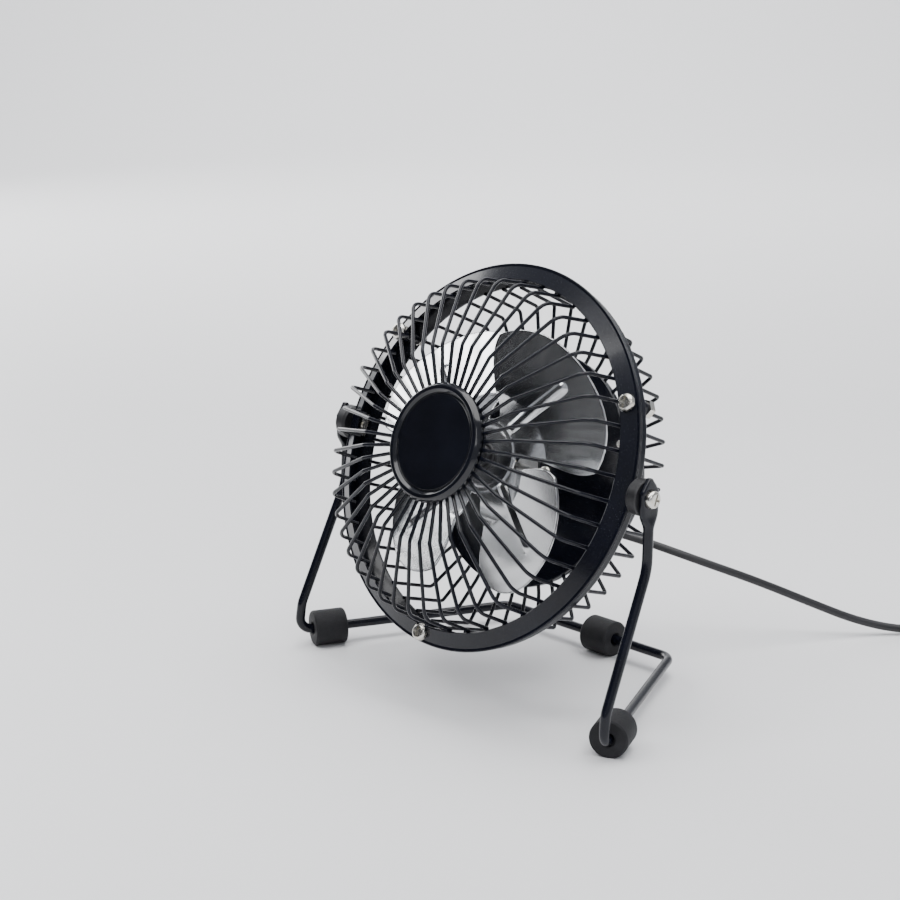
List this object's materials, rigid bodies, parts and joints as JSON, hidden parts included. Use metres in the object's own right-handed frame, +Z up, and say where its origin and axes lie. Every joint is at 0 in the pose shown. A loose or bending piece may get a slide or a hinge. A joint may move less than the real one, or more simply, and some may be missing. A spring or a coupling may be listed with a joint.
{
  "type": "desk fan",
  "caption": "Small metal desk fan: wire guards in a ring that tilts between the legs of a bent-rod stand, with a rear motor housing, a rocker switch and a USB lead.",
  "frame": {"origin": "on the table, under the middle of the fan without its lead", "axes": "+Z up, -Y the way the fan blows, +X to the right as seen from the front"},
  "size_m": [0.2196, 0.2086, 0.1446],
  "materials": {
    "black_paint": "gloss black powder coat with a blue cast",
    "cap_gloss": "gloss black moulding",
    "blade_aluminium": "satin pressed sheet",
    "zinc_screw": "bright zinc plating",
    "brass": "turned",
    "foot_rubber": "matt dark grey rubber",
    "cord_rubber": "satin black sheath",
    "bush_plastic": "matt black moulding",
    "motor_steel": "bright drawn steel",
    "magnet": "dark ferrite",
    "lamination": "stacked laminations",
    "copper": "enamelled copper wire",
    "motor_plastic": "natural nylon",
    "lead_red": "red PVC",
    "lead_black": "black PVC",
    "plug_shell": "nickel-plated pressed steel",
    "plug_tongue": "white insulator",
    "gold": "gold-plated contact"
  },
  "bodies": {
    "stand": {"stand_rod": "black_paint", "front_foot_left": "foot_rubber", "front_foot_right": "foot_rubber", "rear_foot": "foot_rubber", "usb_cord": "cord_rubber", "usb_cord_coil": "cord_rubber", "usb_cord_tail": "cord_rubber", "usb_plug_grip": "cord_rubber", "usb_plug_shell": "plug_shell", "usb_plug_tongue": "plug_tongue", "usb_plug_contacts": "gold"},
    "head": {"front_ring": "black_paint", "rear_ring": "black_paint", "front_guard_wires": "black_paint", "rear_guard_wires": "black_paint", "front_centre_plate": "black_paint", "badge_cap": "cap_gloss", "rear_centre_plate": "black_paint", "ring_screws": "zinc_screw", "ring_nuts": "zinc_screw", "motor_can": "motor_steel", "motor_screws": "zinc_screw", "front_bearing": "motor_steel", "motor_magnets": "magnet", "motor_end_cap": "motor_plastic", "rear_bearing": "brass", "motor_brushes": "brass", "motor_terminals": "brass", "motor_housing": "black_paint", "housing_screws": "zinc_screw", "switch_body": "bush_plastic", "switch_terminals": "brass", "lead_supply": "lead_red", "lead_switched": "lead_red", "lead_return": "lead_black", "strain_relief": "cord_rubber", "pivot_bush_left": "bush_plastic", "pivot_bush_right": "bush_plastic", "pivot_screw_left": "zinc_screw", "pivot_screw_right": "zinc_screw", "pivot_nut_left": "zinc_screw", "pivot_nut_right": "zinc_screw"},
    "rotor": {"fan_blade": "blade_aluminium", "blade_bush": "bush_plastic", "rotor_shaft": "motor_steel", "armature_core": "lamination", "armature_windings": "copper", "commutator": "copper"},
    "rocker": {"switch_rocker": "bush_plastic"}
  },
  "joints": [
    {"name": "head_tilt", "type": "hinge", "parent": "stand", "child": "head", "pos_m": [0, -0.0107, 0.082], "axis": [1, 0, 0], "range_deg": [-35, 45], "deforming": ["usb_cord"]},
    {"name": "fan_spin", "type": "hinge", "parent": "head", "child": "rotor", "pos_m": [0, -0.0107, 0.082], "axis": [0, -0.9304, 0.3665], "continuous": true},
    {"name": "switch_rocker_tilt", "type": "hinge", "parent": "head", "child": "rocker", "pos_m": [0, 0.04354, 0.07944], "axis": [1, 0, 0], "range_deg": [-20, 0]}
  ]
}
